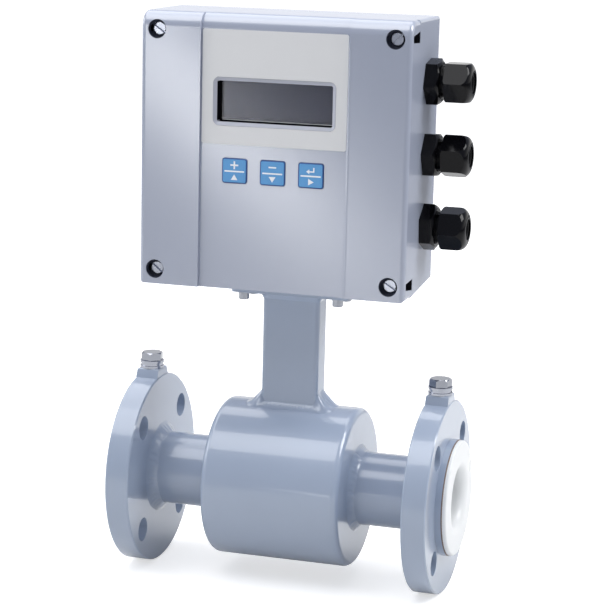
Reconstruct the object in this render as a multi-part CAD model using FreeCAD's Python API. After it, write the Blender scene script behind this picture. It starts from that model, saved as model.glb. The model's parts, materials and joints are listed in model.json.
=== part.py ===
"""Electromagnetic flow meter: a flanged, lined measuring tube with a coil housing,
a rectangular neck and a wall-box transmitter with a display, keys and cable glands.

Millimetres. +X is the direction of flow, +Z is up, and the display faces -Y.
The origin is on the pipe's axis, half way between the two liner faces.
"""
import FreeCAD, Part
import math
import os

V = FreeCAD.Vector

# ---------------------------------------------------------------- driving dimensions
# Flow tube: 1 1/2 inch line, class 150 plate flanges
face_to_face = 230.0        # over the flared liner
pipe_od = 48.3
pipe_wall = 3.7
flange_od = 127.0
flange_t = 15.9
raised_face_od = 76.2
raised_face_t = 4.0
bolt_circle = 98.4
bolt_hole = 15.9
bolt_count = 4
flange_chamfer = 0.8

liner_wall = 2.25
liner_flare_t = 3.4
liner_flare_inset = 0.4     # flare inside the raised face, all round
liner_edge_r = 1.5          # outer edge of the flare
liner_mouth_r = 6.0         # round from the flare into the bore
liner_end_l = 12.0          # length of the flared ends, which are solids of their own
liner_fit = 0.02            # radial gap between the liner and the pipe

# Coil housing
shell_od = 105.0
shell_len = 93.0            # over the end plates
shell_wall = 3.0
end_plate_t = 5.5
end_plate_round = 4.5
weld_fit = 0.05             # gap left between parts before they are welded or cemented
flange_weld_leg = 6.5
shell_weld_leg = 5.0
bead_bulge = 0.57           # middle of a bead from its corner, as a share of the leg

# Magnetic circuit and electrodes
winding_gap = 0.3           # insulation between the pipe and the windings
coil_t = 9.5
coil_len = 60.0
coil_width = 42.0
coil_window_len = 36.0
coil_window_width = 18.0
coil_corner_r = 10.0
coil_window_r = 4.0
pole_fit = 0.3
pole_reach = 7.0            # from the windings out to the flux return ring
yoke_t = 2.5
yoke_len = 56.0
electrode_head_d = 8.0
electrode_head_t = 1.2
electrode_set_back = 0.05   # electrode face behind the liner's bore
electrode_shank_d = 3.0
electrode_tail = 9.5        # shank beyond the bush
bush_d = 10.0
bush_flange_d = 15.0
bush_flange_t = 2.0
bush_seat = 1.0             # flange stands this far off the pipe at its middle
electrode_nut_af = 5.5
electrode_nut_t = 2.4

# Neck
neck_w = 38.6
neck_d = 19.0
neck_corner_r = 3.0
neck_wall = 2.0
foot_blend_r = 8.5
top_weld_leg = 2.2
top_weld_h = 3.6
top_weld_edge = 0.15        # thickness where the weld runs out
plate_w = 80.0
plate_d = 28.0
plate_t = 4.0
plate_z = 127.2             # underside of the neck plate
plate_corner_r = 3.0
neck_gasket_t = 1.5
neck_gasket_inset = 0.5
neck_bolt_end = 8.0         # bolt centres in from the plate's ends
neck_bolt_side = 4.0        # and in from its long sides
neck_bolt_d = 4.0
neck_bolt_fit = 0.3         # radial gap round a bolt in the plate
neck_bolt_len = 14.0
neck_bolt_head_d = 7.0
neck_bolt_head_h = 4.0
neck_bolt_key = 3.0         # across the flats of the hexagon socket
neck_washer_od = 7.6
neck_washer_t = 0.9
neck_washer_fit = 0.15

# Transmitter box
box_w = 175.0
box_h = 173.0
box_depth = 70.0            # the back is level with the neck plate's
base_boss_h = 4.3           # pad between the neck's gasket and the box
base_boss_margin = 1.0
cover_depth = 19.5
base_rise = 4.5             # how far the underside rises towards the back
top_roll = 9.0              # round along the cover's top front edge
cover_edge_r = 3.0          # rounding of the cover's side edges
base_edge_r = 2.0
cover_wall = 3.5
base_wall = 5.0
panel_margin = 0.75         # recessed panel beyond the label, each side
panel_recess = 2.5
screw_from_side = 10.5
screw_from_top = 11.2
screw_from_bottom = 9.5
pillar_wall = 1.5
gasket_w = 2.4
gasket_h = 2.2
gasket_land = 1.3           # metal between the gasket and the cavity

# Cover screws
cover_screw_d = 5.0
cover_screw_fit = 0.25      # radial gap round a screw in the cover
counterbore_d = 12.0
counterbore_depth = 8.5
cover_screw_head_d = 8.4
cover_screw_head_h = 3.5
cover_screw_slot = 1.3
cover_screw_slot_depth = 1.6
cover_screw_bite = 12.0     # thread length in the base
slot_angles = {"top_left": -35.0, "top_right": 45.0, "bottom_left": -40.0, "bottom_right": -33.0}
head_chamfer = 0.5
thread_fit = 0.05           # radial gap between a plain shank and its tapped hole

# Notches in the cover's sides, level with the screws
notch_from_front = 3.7
notch_depth = 6.0
notch_front_h = 4.2
notch_outer_slant = 2.4
notch_inner_slant = 0.8

# Front label, display and keys
label_margin = 7.25         # label beyond the display, each side
label_h = 71.5
label_drop = 45.5           # its centre below the box's top
label_t = 0.6
label_corner_r = 1.5
bezel_w = 80.0
bezel_h = 30.4
bezel_drop = 54.4
bezel_corner_r = 4.0
bezel_fit = 0.15
bezel_lip = 2.4
bezel_slope = 1.2
window_recess = 6.0         # front of the label to the window
window_t = 1.5
window_rebate = 1.0
window_fit = 0.1
window_corner_r = 1.0
bezel_behind = 0.5          # bezel's back beyond the window's back
lcd_t = 4.0
lcd_fit = 0.2
lcd_rim = 3.0
lcd_sunk = 0.5
key_pitch = 25.0
key_drop = 97.6
key_w = 16.3
key_h = 15.6
key_corner_r = 1.6
key_chamfer = 0.3
key_proud = 0.8
key_travel = 0.6
key_fit = 0.25
key_flange = 1.2
key_flange_t = 1.2
key_rest_gap = 0.2
key_stem_d = 5.0
switch_size = 6.0
switch_h = 3.5
switch_button_d = 3.4
switch_button_h = 0.6
board_t = 1.6
board_corner_r = 2.0
display_board_margin = 12.0 # beyond the display, each side
display_board_drop = 30.0
display_board_h = 84.0
board_screw_d = 3.0
board_screw_fit = 0.2
board_screw_head_d = 5.6
board_screw_head_h = 2.0
board_screw_bite = 5.0
boss_d = 8.0
board_edge = 5.0            # screw centres in from a board's edges

# Electronics in the base
main_board_w = 112.0
main_board_x = -8.0
main_board_drop = 20.0      # below the box's top
main_board_rise = 23.0      # above its underside
standoff_h = 8.0
standoff_af = 7.0
transformer_w = 40.0
transformer_h = 34.0
transformer_core_d = 16.0
transformer_d = 26.0
transformer_x = -36.0
transformer_drop = 48.0
bobbin_w = 25.0
bobbin_d = 16.0
bobbin_corner_r = 3.0
terminal_l = 84.0
terminal_h = 13.0
terminal_d = 14.0
terminal_step = 5.0
terminal_bevel = 2.0
terminal_rise = 39.0
terminal_ways = 12
terminal_hole = 4.0

# Cable glands
gland_count = 3
gland_pitch = 46.0
gland_off_middle = 1.2      # middle gland above the box's mid-height
gland_y = -11.0
gland_thread_d = 20.0
gland_hole_fit = 0.2
gland_hex_wall = 3.0        # body's hexagon over its thread, at the flats
gland_hex_t = 9.0
gland_chamfer = 2.0         # outer corners of the body's hexagon, along X
gland_chamfer_in = 0.8      # and how far inside the flats it ends
gland_stub = 15.0           # thread behind the hexagon
gland_neck = 11.0           # thread in front of the hexagon
gland_body_wall = 2.5       # from the thread to the body's bore
gland_gap = 2.8             # thread showing between the body and the nut
gland_nut_wall = 2.0        # nut over the thread, at the flats
gland_nut_hex_l = 10.0
gland_dome_l = 7.0
gland_nut_bevel = 0.9
gland_dome_bulge = 1.35     # dome's middle outside the straight line
gland_mouth_d = 13.4
gland_mouth_lip = 1.2
gland_nut_end_t = 3.0
gland_fit = 0.1
gland_seal_bore = 10.0
gland_seal_plug = 8.0       # length inside the body
gland_collar_t = 2.2
gland_collar_inset = 0.6    # collar inside the thread's radius
gland_seal_sunk = 1.2       # below the nut's mouth
gland_seal_gap = 0.4
gland_locknut_wall = 2.5
gland_locknut_t = 5.0
gland_locknut_step = 12.0   # turn from one locknut to the next
gland_body_turn = [35.7, -5.3, 10.7]
gland_nut_turn = [10.7, 41.7, 0.7]

# Earthing points on the flanges
earth_boss_top = 68.5
earth_boss_l = 15.0
earth_boss_w = 15.0
earth_boss_foot_w = 21.0
earth_boss_foot_inset = 0.3 # foot in from the rim's edges
earth_boss_sunk = 2.0       # foot below the rim's top before it is cut to it
earth_boss_edge_r = 1.2
earth_tap_extra = 2.0       # tapped hole beyond the bolt's end
earth_bolt_d = 8.0
earth_bolt_len = 16.0
earth_head_af = 13.0
earth_head_h = 5.3
earth_head_bevel = 1.0
earth_head_turn = 20.0
earth_washer_fit = 0.25
earth_washer_od = 16.0
earth_washer_t = 1.5
earth_spring_od = 14.6
earth_spring_t = 2.0
earth_spring_gap = 1.6

# ---------------------------------------------------------------- derived sizes
half_len = face_to_face / 2
raised_x = half_len - liner_flare_t
rim_x = raised_x - raised_face_t
liner_flare_r = raised_face_od / 2 - liner_flare_inset
flange_x = rim_x - flange_t                  # inner face of a flange
pipe_r = pipe_od / 2
pipe_r_in = pipe_r - pipe_wall
liner_r_out = pipe_r_in - liner_fit
liner_r = liner_r_out - liner_wall           # bore radius
shell_r = shell_od / 2
shell_r_in = shell_r - shell_wall
shell_x = shell_len / 2
plate_inner_x = shell_x - end_plate_t
coil_r_in = pipe_r + winding_gap
coil_r_out = coil_r_in + coil_t
yoke_r_in = coil_r_out + pole_reach
bush_end = pipe_r + bush_flange_t + bush_seat
electrode_reach = bush_end + electrode_tail  # from the pipe's axis

neck_top = plate_z
gasket_z = plate_z + plate_t
boss_z = gasket_z + neck_gasket_t            # underside of the base's boss
neck_bolt_x = plate_w / 2 - neck_bolt_end
neck_bolt_y = plate_d / 2 - neck_bolt_side

box_z0 = boss_z + base_boss_h                # underside at the front
box_z1 = box_z0 + box_h
box_back = plate_d / 2
box_front = box_back - box_depth
split_y = box_front + cover_depth
panel_y = box_front + panel_recess
label_y = panel_y - label_t
cover_inner_y = panel_y + cover_wall
box_x = box_w / 2
label_w = bezel_w + 2 * label_margin
panel_w = label_w + 2 * panel_margin
label_z = box_z1 - label_drop
bezel_z = box_z1 - bezel_drop
key_z = box_z1 - key_drop
pillar_r = counterbore_d / 2 + pillar_wall
screw_x = box_x - screw_from_side
screw_z = {"top": box_z1 - screw_from_top, "bottom": box_z0 + screw_from_bottom}
screw_places = {
    "top_left": (-screw_x, screw_z["top"]),
    "top_right": (screw_x, screw_z["top"]),
    "bottom_left": (-screw_x, screw_z["bottom"]),
    "bottom_right": (screw_x, screw_z["bottom"]),
}
screw_seat_y = box_front + counterbore_depth

window_y = label_y + window_recess
window_w = bezel_w - 2 * bezel_lip
window_h = bezel_h - 2 * bezel_lip
lcd_y = window_y + window_t + lcd_fit
display_board_y = lcd_y + lcd_t
display_board_w = bezel_w + 2 * display_board_margin
display_board_z1 = box_z1 - display_board_drop
display_board_z0 = display_board_z1 - display_board_h
key_front_y = panel_y - key_proud
key_flange_y = cover_inner_y + key_rest_gap
switch_top_y = display_board_y - switch_h - switch_button_h
key_stem_end = switch_top_y - key_travel - key_rest_gap
main_board_y = box_back - base_wall - standoff_h - board_t
main_board_z0 = box_z0 + main_board_rise
main_board_z1 = box_z1 - main_board_drop
transformer_z = box_z1 - transformer_drop
terminal_z = box_z0 + terminal_rise

gland_z = (box_z0 + box_z1) / 2 + gland_off_middle
gland_places = [gland_z + (i - (gland_count - 1) / 2) * gland_pitch for i in range(gland_count)]
gland_names = ["lower", "middle", "upper"]
gland_thread_r = gland_thread_d / 2
gland_hex_af = gland_thread_d + 2 * gland_hex_wall
gland_nut_af = gland_thread_d + 2 * gland_nut_wall
gland_locknut_af = gland_thread_d + 2 * gland_locknut_wall
gland_bore_r = gland_thread_r - gland_body_wall
gland_nut_x0 = gland_hex_t + gland_gap
gland_nut_x1 = gland_nut_x0 + gland_nut_hex_l
gland_nut_x2 = gland_nut_x1 + gland_dome_l

flange_mid_x = flange_x + flange_t / 2
earth_head_z = earth_boss_top + 2 * earth_washer_t + earth_spring_t
earth_bolt_end = earth_head_z - earth_bolt_len


# ---------------------------------------------------------------- shape helpers
def block(x0, x1, y0, y1, z0, z1):
    return Part.makeBox(x1 - x0, y1 - y0, z1 - z0, V(x0, y0, z0))


def rod(radius, start, end):
    axis = end.sub(start)
    return Part.makeCylinder(radius, axis.Length, start, axis)


def washer(r_out, r_in, start, end):
    return rod(r_out, start, end).cut(rod(r_in, start, end))


def spin(points):
    """Turned solid from (along X, radius) points, about the X axis."""
    wire = Part.makePolygon([V(x, 0, r) for x, r in points + points[:1]])
    return Part.Face(wire).revolve(V(0, 0, 0), V(1, 0, 0), 360)


def spin_z(points, cx):
    """Turned solid from (radius, z) points, about a vertical axis at x = cx."""
    wire = Part.makePolygon([V(cx + r, 0, z) for r, z in points + points[:1]])
    return Part.Face(wire).revolve(V(cx, 0, 0), V(0, 0, 1), 360)


def rounded_outline(w, h, r, place):
    """Closed rounded rectangle; place turns (u, v) into a point."""
    a, b = w / 2, h / 2
    k = r * (1 - math.sqrt(0.5))
    corners = [(1, 1), (-1, 1), (-1, -1), (1, -1)]
    edges = []
    ends = []
    for i, (su, sv) in enumerate(corners):
        near_v = (su * a, sv * (b - r))
        near_u = (su * (a - r), sv * b)
        first, last = (near_v, near_u) if i % 2 == 0 else (near_u, near_v)
        middle = (su * (a - k), sv * (b - k))
        ends.append((first, last))
        edges.append(Part.Arc(place(*first), place(*middle), place(*last)).toShape())
        if i:
            edges.insert(-1, Part.makeLine(place(*ends[i - 1][1]), place(*first)))
    edges.append(Part.makeLine(place(*ends[-1][1]), place(*ends[0][0])))
    return Part.Wire(edges)


def slab_y(w, h, r, y0, y1, cx=0.0, cz=0.0):
    """Rounded rectangle in the XZ plane, thick from y0 to y1."""
    wire = rounded_outline(w, h, r, lambda u, v: V(cx + u, y0, cz + v))
    return Part.Face(wire).extrude(V(0, y1 - y0, 0))


def slab_z(w, d, r, z0, z1):
    """Rounded rectangle in the XY plane about the Z axis, thick from z0 to z1."""
    wire = rounded_outline(w, d, r, lambda u, v: V(u, v, z0))
    return Part.Face(wire).extrude(V(0, 0, z1 - z0))


def hexagon(across_flats, start, length, direction, turn=0.0):
    """Hexagonal prism that starts at a point and runs along +X, +Y or +Z."""
    r = across_flats / math.sqrt(3)
    points = []
    for i in range(7):
        a = math.radians(60 * i + turn)
        u, v = r * math.cos(a), r * math.sin(a)
        offset = {"X": V(0, u, v), "Y": V(u, 0, v), "Z": V(u, v, 0)}[direction]
        points.append(start.add(offset))
    run = {"X": V(length, 0, 0), "Y": V(0, length, 0), "Z": V(0, 0, length)}[direction]
    return Part.Face(Part.makePolygon(points)).extrude(run)


def mirror_x(shape):
    return shape.mirror(V(0, 0, 0), V(1, 0, 0))


def edges_where(shape, test):
    return [e for e in shape.Edges if test(e.BoundBox)]


def save(name, shape):
    solids = shape.Solids
    whole = solids[0] if len(solids) == 1 else Part.makeCompound(solids)
    whole.exportStep("parts/%s.step" % name)


# ---------------------------------------------------------------- flow tube
def measuring_tube():
    tube = washer(pipe_r, pipe_r_in, V(-raised_x, 0, 0), V(raised_x, 0, 0))
    return tube.cut(rod(bush_d / 2, V(0, -pipe_od, 0), V(0, pipe_od, 0)))


def outlet_flange():
    rim = Part.makeCylinder(flange_od / 2, flange_t, V(flange_x, 0, 0), V(1, 0, 0))
    edges = [e for e in rim.Edges if abs(e.Length - math.pi * flange_od) < 0.1]
    rim = rim.makeChamfer(flange_chamfer, edges)
    face = rod(raised_face_od / 2, V(rim_x, 0, 0), V(raised_x, 0, 0))
    bore = rod(pipe_r + weld_fit, V(flange_x - 1, 0, 0), V(raised_x + 1, 0, 0))
    holes = [bore]
    for i in range(bolt_count):
        a = 2 * math.pi * (i + 0.5) / bolt_count
        y, z = bolt_circle / 2 * math.cos(a), bolt_circle / 2 * math.sin(a)
        holes.append(rod(bolt_hole / 2, V(flange_x - 1, y, z), V(rim_x + 1, y, z)))
    tap_r = earth_bolt_d / 2 + thread_fit
    tap_end = V(flange_mid_x, 0, earth_bolt_end - earth_tap_extra)
    holes.append(rod(tap_r, tap_end, V(flange_mid_x, 0, flange_od)))
    return rim.fuse(face).cut(holes)


def weld_bead(corner_x, leg, side):
    """Convex fillet bead round the pipe, against a wall that faces side (+1 or -1 along X)."""
    a = V(corner_x, 0, pipe_r)
    b = V(corner_x, 0, pipe_r + leg)
    c = V(corner_x + side * leg, 0, pipe_r)
    middle = V(corner_x + side * bead_bulge * leg, 0, pipe_r + bead_bulge * leg)
    outline = Part.Wire([Part.makeLine(a, b), Part.Arc(b, middle, c).toShape(), Part.makeLine(c, a)])
    return Part.Face(outline).revolve(V(0, 0, 0), V(1, 0, 0), 360)


def pipe_liner():
    """Liner sleeve, with both ends flared over the raised faces."""
    tube = rod(liner_r_out, V(-half_len, 0, 0), V(half_len, 0, 0))
    flare = rod(liner_flare_r, V(raised_x, 0, 0), V(half_len, 0, 0))
    flare = flare.makeFillet(liner_edge_r, edges_where(flare, lambda b: b.XMin > half_len - 0.01))
    body = tube.fuse([flare, mirror_x(flare)]).removeSplitter()
    body = body.cut(rod(liner_r, V(-half_len - 1, 0, 0), V(half_len + 1, 0, 0)))
    mouths = edges_where(body, lambda b: abs(b.XMin) > half_len - 0.01 and abs(b.XMax) > half_len - 0.01
                         and b.ZMax < liner_r + 0.1)
    body = body.makeFillet(liner_mouth_r, mouths)
    depth = liner_r + electrode_head_t
    head = rod(electrode_head_d / 2, V(0, -depth, 0), V(0, depth, 0))
    shank = rod(electrode_shank_d / 2 + weld_fit, V(0, -pipe_r, 0), V(0, pipe_r, 0))
    body = body.cut([head, shank])
    x, side = half_len - liner_end_l, flange_od / 2
    middle = block(-x, x, -side, side, -side, side)
    return Part.makeCompound([body.common(middle)] + body.cut(middle).Solids)


# ---------------------------------------------------------------- coil housing
def coil_housing_shell():
    shell = washer(shell_r, shell_r_in, V(-plate_inner_x, 0, 0), V(plate_inner_x, 0, 0))
    slot = slab_z(neck_w - 2 * neck_wall, neck_d - 2 * neck_wall, neck_corner_r - neck_wall, 0, shell_od)
    return shell.cut(slot)


def outlet_end_plate():
    disc = rod(shell_r, V(plate_inner_x, 0, 0), V(shell_x, 0, 0))
    disc = disc.makeFillet(end_plate_round, edges_where(disc, lambda b: b.XMin > shell_x - 0.01))
    return disc.cut(rod(pipe_r + weld_fit, V(0, 0, 0), V(half_len, 0, 0)))


def coil_upper():
    """Saddle coil: a curved pad on the pipe with a window for the pole shoe."""
    winding = slab_z(coil_len, coil_width, coil_corner_r, 0, shell_od)
    ring = washer(coil_r_out, coil_r_in, V(-coil_len, 0, 0), V(coil_len, 0, 0))
    window = slab_z(coil_window_len, coil_window_width, coil_window_r, 0, shell_od)
    return ring.common(winding).cut(window)


def pole_shoe_upper():
    pole = slab_z(coil_window_len - 2 * pole_fit, coil_window_width - 2 * pole_fit,
                  coil_window_r - pole_fit, 0, shell_od)
    ring = washer(yoke_r_in - weld_fit, coil_r_in, V(-coil_len, 0, 0), V(coil_len, 0, 0))
    return ring.common(pole)


def lower(shape):
    return shape.mirror(V(0, 0, 0), V(0, 0, 1))


def flux_return_ring():
    return washer(yoke_r_in + yoke_t, yoke_r_in, V(-yoke_len / 2, 0, 0), V(yoke_len / 2, 0, 0))


def electrode_front():
    tip = liner_r + electrode_set_back
    head = rod(electrode_head_d / 2 - weld_fit, V(0, 0, 0), V(0, -liner_r - electrode_head_t, 0))
    shank = rod(electrode_shank_d / 2, V(0, -liner_r, 0), V(0, -electrode_reach, 0))
    return head.fuse(shank).removeSplitter().cut(rod(tip, V(-pipe_od, 0, 0), V(pipe_od, 0, 0)))


def electrode_bush_front():
    """Insulating bush: it lies on the liner, fills the pipe's hole and ends in a flange."""
    sleeve = rod(bush_d / 2 - weld_fit, V(0, 0, 0), V(0, -bush_end, 0))
    flange = rod(bush_flange_d / 2, V(0, -bush_end + bush_flange_t, 0), V(0, -bush_end, 0))
    inside = rod(pipe_r + weld_fit, V(-pipe_od, 0, 0), V(pipe_od, 0, 0))
    bush = flange.cut(inside).fuse(sleeve).removeSplitter()
    bush = bush.cut(rod(liner_r_out + weld_fit, V(-pipe_od, 0, 0), V(pipe_od, 0, 0)))
    return bush.cut(rod(electrode_shank_d / 2 + weld_fit, V(0, 0, 0), V(0, -shell_od, 0)))


def electrode_nuts():
    nut = hexagon(electrode_nut_af, V(0, -bush_end - electrode_nut_t, 0), electrode_nut_t, "Y")
    nut = nut.cut(rod(electrode_shank_d / 2 + thread_fit, V(0, 0, 0), V(0, -shell_od, 0)))
    return Part.makeCompound([nut, nut.mirror(V(0, 0, 0), V(0, 1, 0))])


# ---------------------------------------------------------------- earthing points
def earth_boss_outline(length, width, z):
    return Part.makePolygon([V(flange_mid_x + sx * length / 2, sy * width / 2, z)
                             for sx, sy in [(1, 1), (-1, 1), (-1, -1), (1, -1), (1, 1)]])


def outlet_earth_boss():
    """Boss welded on the rim: tapered sides, tapped through."""
    foot = earth_boss_outline(flange_t - 2 * earth_boss_foot_inset, earth_boss_foot_w,
                              flange_od / 2 - earth_boss_sunk)
    top = earth_boss_outline(earth_boss_l, earth_boss_w, earth_boss_top)
    boss = Part.makeLoft([foot, top], True)
    boss = boss.makeFillet(earth_boss_edge_r, edges_where(boss, lambda b: b.ZMin > earth_boss_top - 0.01))
    rim = rod(flange_od / 2, V(0, 0, 0), V(face_to_face, 0, 0))
    tap = rod(earth_bolt_d / 2 + thread_fit, V(flange_mid_x, 0, 0), V(flange_mid_x, 0, flange_od))
    return boss.cut([rim, tap])


def earth_bolts():
    """Hexagon-head bolts, the corners of each head turned off at the top."""
    head = hexagon(earth_head_af, V(flange_mid_x, 0, earth_head_z), earth_head_h, "Z", earth_head_turn)
    top = earth_head_z + earth_head_h
    corner_r = earth_head_af / math.sqrt(3)
    turned = spin_z([(0, earth_head_z), (corner_r, earth_head_z), (corner_r, top - earth_head_bevel),
                     (earth_head_af / 2, top), (0, top)], flange_mid_x)
    shank = rod(earth_bolt_d / 2, V(flange_mid_x, 0, earth_bolt_end), V(flange_mid_x, 0, earth_head_z))
    bolt = head.common(turned).fuse(shank).removeSplitter()
    return Part.makeCompound([mirror_x(bolt), bolt])


def earth_washers():
    hole = earth_bolt_d / 2 + earth_washer_fit
    z = earth_boss_top
    rings = []
    for r_out, t, split in [(earth_washer_od / 2, earth_washer_t, False),
                            (earth_spring_od / 2, earth_spring_t, True),
                            (earth_washer_od / 2, earth_washer_t, False)]:
        ring = washer(r_out, hole, V(flange_mid_x, 0, z), V(flange_mid_x, 0, z + t))
        if split:
            ring = ring.cut(block(flange_mid_x, flange_mid_x + earth_washer_od,
                                  -earth_spring_gap / 2, earth_spring_gap / 2, z, z + t))
        rings.append(ring)
        z += t
    return Part.makeCompound(rings + [mirror_x(r) for r in rings])


# ---------------------------------------------------------------- neck
def neck_prism(grow, z0, z1):
    return slab_z(neck_w + 2 * grow, neck_d + 2 * grow, max(neck_corner_r + grow, 0.5), z0, z1)


def neck_tube():
    outer = neck_prism(0, 0, neck_top)
    return outer.cut([neck_prism(-neck_wall, -1, neck_top + 1),
                      rod(shell_r, V(-shell_len, 0, 0), V(shell_len, 0, 0))])


def neck_foot_weld():
    """Wide concave fillet between the neck and the round shell."""
    drum = rod(shell_r, V(-shell_x, 0, 0), V(shell_x, 0, 0))
    joined = drum.fuse(neck_prism(0, 0, neck_top)).removeSplitter()
    seam = [e for e in joined.Edges
            if e.BoundBox.ZMin > shell_r * 0.9 and e.BoundBox.ZMax < shell_r + 0.01
            and e.BoundBox.XMin > -neck_w and e.BoundBox.XMax < neck_w]
    blended = joined.makeFillet(foot_blend_r, seam)
    return blended.cut([drum, neck_prism(0, 0, neck_top + 1)])


def neck_top_weld():
    wires = [rounded_outline(neck_w + 2 * g, neck_d + 2 * g, neck_corner_r + g, lambda u, v: V(u, v, z))
             for g, z in [(top_weld_edge, neck_top - top_weld_h), (top_weld_leg, neck_top)]]
    return Part.makeLoft(wires, True).cut(neck_prism(0, 0, neck_top + 1))


def bolt_corners(x, y):
    return [(sx * x, sy * y) for sx in (-1, 1) for sy in (-1, 1)]


def plate_shape(z0, z1, inset=0.0):
    slab = slab_z(plate_w - 2 * inset, plate_d - 2 * inset, plate_corner_r, z0, z1)
    holes = [rod(neck_bolt_d / 2 + neck_bolt_fit, V(x, y, z0 - 1), V(x, y, z1 + 1))
             for x, y in bolt_corners(neck_bolt_x, neck_bolt_y)]
    return slab.cut(holes + [neck_prism(-neck_wall, z0 - 1, z1 + 1)])


def neck_bolts():
    bolts = []
    seat = plate_z - neck_washer_t
    low = seat - neck_bolt_head_h
    for x, y in bolt_corners(neck_bolt_x, neck_bolt_y):
        shank = rod(neck_bolt_d / 2, V(x, y, seat), V(x, y, seat + neck_bolt_len))
        head = rod(neck_bolt_head_d / 2, V(x, y, low), V(x, y, seat))
        head = head.makeChamfer(head_chamfer, edges_where(head, lambda b: b.ZMax < low + 0.01))
        key = hexagon(neck_bolt_key, V(x, y, low - 1), 1 + neck_bolt_head_h / 2, "Z")
        bolts.append(head.fuse(shank).cut(key))
    return Part.makeCompound(bolts)


def neck_bolt_washers():
    return Part.makeCompound([
        washer(neck_washer_od / 2, neck_bolt_d / 2 + neck_washer_fit,
               V(x, y, plate_z - neck_washer_t), V(x, y, plate_z))
        for x, y in bolt_corners(neck_bolt_x, neck_bolt_y)])


# ---------------------------------------------------------------- transmitter box
def side_profile(y0, y1, inset, z_low0, z_low1, z_top, roll):
    """Box profile in the YZ plane, extruded over the box's width less the inset.

    The front's top edge is rolled, and the underside runs from z_low0 to z_low1."""
    front, back = V(0, y0, z_low0), V(0, y1, z_low1)
    edges = [Part.makeLine(V(0, y1, z_top), back), Part.makeLine(back, front)]
    if roll > 0:
        k = roll * (1 - math.sqrt(0.5))
        start, end = V(0, y0, z_top - roll), V(0, y0 + roll, z_top)
        edges += [Part.makeLine(front, start),
                  Part.Arc(start, V(0, y0 + k, z_top - k), end).toShape(),
                  Part.makeLine(end, V(0, y1, z_top))]
    else:
        corner = V(0, y0, z_top)
        edges += [Part.makeLine(front, corner), Part.makeLine(corner, V(0, y1, z_top))]
    width = box_w - 2 * inset
    solid = Part.Face(Part.Wire(edges)).extrude(V(width, 0, 0))
    solid.translate(V(-width / 2, 0, 0))
    return solid


def on_side(b):
    return abs(b.XMin) > box_x - 0.01 and abs(b.XMax) > box_x - 0.01 and b.XMax - b.XMin < 0.01


def pillars(y0, y1, wall):
    """The four screw pillars, each run into its corner of the box."""
    shapes = []
    for x, z in screw_places.values():
        shapes.append(rod(pillar_r, V(x, y0, z), V(x, y1, z)))
        corner_x = math.copysign(box_x - wall + 1, x)
        corner_z = box_z1 - wall + 1 if z == screw_z["top"] else box_z0 + wall - 1
        shapes.append(block(min(x, corner_x), max(x, corner_x), y0, y1, min(z, corner_z), max(z, corner_z)))
    return shapes


def notch(side, place):
    """Tapered pocket in a side of the cover, open towards the base."""
    sign = 1 if place == "top" else -1
    z = screw_z[place]
    y0, y1 = box_front + notch_from_front, split_y + 1
    half = notch_front_h / 2
    outline = [(y0, z - sign * half), (y0, z + sign * half),
               (y1, z + sign * (half + notch_outer_slant)), (y1, z - sign * (half + notch_inner_slant))]
    wire = Part.makePolygon([V(box_x - notch_depth, y, zz) for y, zz in outline + outline[:1]])
    pocket = Part.Face(wire).extrude(V(notch_depth + 1, 0, 0))
    return pocket if side > 0 else mirror_x(pocket)


def key_places():
    return [(-key_pitch, key_z), (0.0, key_z), (key_pitch, key_z)]


def display_board_places():
    x = display_board_w / 2 - board_edge
    heights = (display_board_z0 + board_edge, display_board_z1 - board_edge)
    return [(sx * x, z) for sx in (-1, 1) for z in heights]


def housing_cover():
    """Shallow die-cast lid: rolled top edge, recessed panel, pillars and cut-outs."""
    outer = side_profile(box_front, split_y, 0, box_z0, box_z0, box_z1, top_roll)
    outer = outer.makeFillet(cover_edge_r, edges_where(
        outer, lambda b: on_side(b) and b.YMin < split_y - 0.01))
    behind_panel = side_profile(panel_y, split_y, 0, box_z0 - 1, box_z0 - 1, box_z1, top_roll)
    panel = block(-panel_w / 2, panel_w / 2, box_front - 1, panel_y + top_roll, box_z0 - 1, box_z1)
    panel = panel.cut(behind_panel)
    inner_top = box_z1 - cover_wall
    cavity = side_profile(cover_inner_y, split_y + 1, cover_wall, box_z0 + cover_wall,
                          box_z0 + cover_wall, inner_top, top_roll - cover_wall)
    bosses = [rod(boss_d / 2, V(x, cover_inner_y - 1, z), V(x, display_board_y, z))
              for x, z in display_board_places()]
    cavity = cavity.cut(pillars(box_front, split_y + 2, cover_wall) + bosses)
    cuts = [panel, cavity]
    for x, z in screw_places.values():
        cuts.append(rod(counterbore_d / 2, V(x, box_front - 1, z), V(x, screw_seat_y, z)))
        cuts.append(rod(cover_screw_d / 2 + cover_screw_fit, V(x, screw_seat_y - 1, z), V(x, split_y + 1, z)))
    for side in (-1, 1):
        cuts += [notch(side, "top"), notch(side, "bottom")]
    cuts.append(slab_y(bezel_w, bezel_h, bezel_corner_r, panel_y - 1, cover_inner_y + 1, 0, bezel_z))
    for x, z in key_places():
        cuts.append(slab_y(key_w + 2 * key_fit, key_h + 2 * key_fit, key_corner_r + key_fit,
                           panel_y - 1, cover_inner_y + 1, x, z))
    for x, z in display_board_places():
        cuts.append(rod(board_screw_d / 2 + thread_fit, V(x, display_board_y - board_screw_bite - 1, z),
                        V(x, display_board_y + 1, z)))
    return outer.cut(cuts)


def base_cavity():
    floor_front = box_z0 + base_wall
    slope = base_rise / (box_back - split_y)
    y0, y1 = split_y - 1, box_back - base_wall
    cavity = side_profile(y0, y1, base_wall, floor_front - slope, floor_front + slope * (y1 - split_y),
                          box_z1 - base_wall, 0)
    return cavity.cut(pillars(split_y - 2, y1 + 1, base_wall))


def main_board_places():
    x0, x1 = main_board_x - main_board_w / 2 + board_edge, main_board_x + main_board_w / 2 - board_edge
    return [(x, z) for x in (x0, x1) for z in (main_board_z0 + board_edge, main_board_z1 - board_edge)]


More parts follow.
